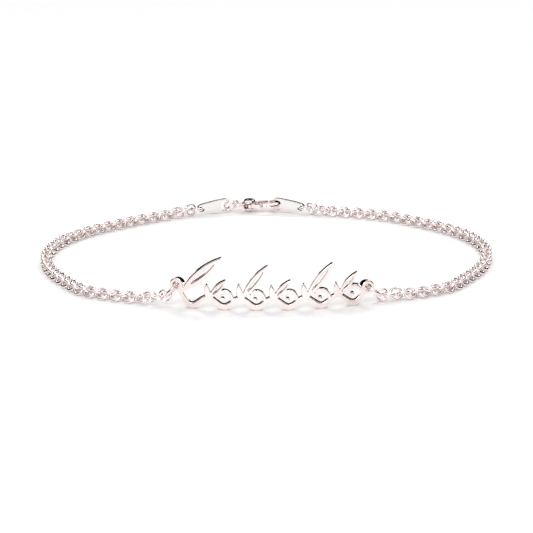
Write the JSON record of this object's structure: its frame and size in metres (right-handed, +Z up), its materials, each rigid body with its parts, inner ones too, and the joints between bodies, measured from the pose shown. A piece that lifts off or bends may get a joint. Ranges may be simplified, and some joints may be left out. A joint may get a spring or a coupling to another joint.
{
  "type": "nameplate bracelet",
  "caption": "Fine chain bracelet lying closed: a curved, pierced scrollwork plate at the front and a lobster clasp at the back, whose trigger opens.",
  "frame": {"origin": "on the surface that the bracelet lies on, under the middle of its box", "axes": "+X along the plate, to the right in the picture, +Y from the plate to the clasp, +Z up"},
  "size_m": [0.0656, 0.0586, 0.0074],
  "materials": {
    "plate": "rose gold plated silver, cast, tumbled and polished",
    "rings": "rose gold plated silver wire, polished",
    "chain": "rose gold plated silver wire, polished",
    "tags": "rose gold plated silver sheet, stamped and polished",
    "clasp": "rose gold plated silver, cast and polished",
    "pin": "rose gold plated silver rivet, flush"
  },
  "bodies": {
    "bracelet": {"nameplate": "plate", "jump_ring_left": "rings", "jump_ring_right": "rings", "chain_left": "chain", "chain_right": "chain", "end_tag_left": "tags", "end_tag_right": "tags", "clasp_ring": "rings", "clasp_body": "clasp", "clasp_pin": "pin"},
    "lever": {"clasp_lever": "clasp"}
  },
  "joints": [
    {"name": "clasp_lever", "type": "hinge", "parent": "bracelet", "child": "lever", "pos_m": [-0.00273, 0.02656, 0.0011], "axis": [0, 0, 1], "range_deg": [0, 25], "stiffness_Nm_per_rad": 0.001}
  ]
}
